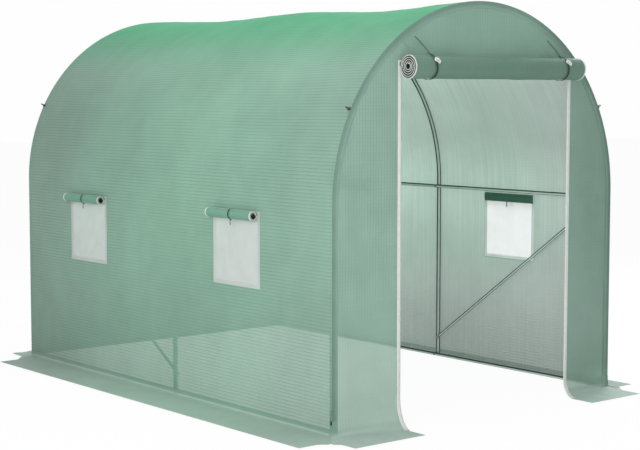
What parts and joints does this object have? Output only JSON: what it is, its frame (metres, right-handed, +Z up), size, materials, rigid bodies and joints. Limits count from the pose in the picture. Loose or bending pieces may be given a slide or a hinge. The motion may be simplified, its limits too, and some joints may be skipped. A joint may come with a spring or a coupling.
{
  "type": "polytunnel greenhouse",
  "caption": "Walk-in polytunnel: steel hoops and rails under a green fabric cover, with an open doorway under a rolled-up door, mesh windows and ground flaps.",
  "frame": {"origin": "on the ground, at the middle of the footprint with its ground flaps", "axes": "+X right as seen from the doorway end, +Y from the doorway end to the back wall, +Z up"},
  "size_m": [2.42, 3.325, 2.1],
  "materials": {
    "frame_tube": "satin grey-green coat on steel tube",
    "cover_fabric": "translucent green woven film with a fine grid",
    "window_mesh": "fine pale insect mesh",
    "rolled_fabric": "green woven film rolled up in layers",
    "dark_strap": "dark green webbing",
    "zip_trim": "white tape with a zip",
    "buckle_plastic": "pale moulded plastic",
    "clip_plastic": "dark moulded plastic"
  },
  "bodies": {
    "root": {"front_hoop": "frame_tube", "middle_hoop": "frame_tube", "back_hoop": "frame_tube", "left_purlin": "frame_tube", "right_purlin": "frame_tube", "left_ground_rail": "frame_tube", "right_ground_rail": "frame_tube", "left_brace": "frame_tube", "right_brace": "frame_tube", "left_wall_front": "cover_fabric", "left_wall_back": "cover_fabric", "right_wall_front": "cover_fabric", "right_wall_back": "cover_fabric", "left_roof_low": "cover_fabric", "left_roof_middle": "cover_fabric", "left_roof_top": "cover_fabric", "right_roof_low": "cover_fabric", "right_roof_middle": "cover_fabric", "right_roof_top": "cover_fabric", "front_wall_left": "cover_fabric", "front_wall_right": "cover_fabric", "front_wall_top": "cover_fabric", "back_wall": "cover_fabric", "left_ground_flap": "cover_fabric", "right_ground_flap": "cover_fabric", "front_ground_flap_left": "cover_fabric", "front_ground_flap_right": "cover_fabric", "back_ground_flap": "cover_fabric", "left_window_mesh": "window_mesh", "right_window_mesh": "window_mesh", "left_window_roll_front": "rolled_fabric", "left_window_roll_back": "rolled_fabric", "right_window_roll_front": "rolled_fabric", "right_window_roll_back": "rolled_fabric", "left_window_ties": "dark_strap", "right_window_ties": "dark_strap", "door_roll": "rolled_fabric", "door_straps": "dark_strap", "door_buckles": "buckle_plastic", "door_trim_left": "zip_trim", "door_trim_right": "zip_trim", "cover_clips": "clip_plastic"}
  },
  "joints": []
}
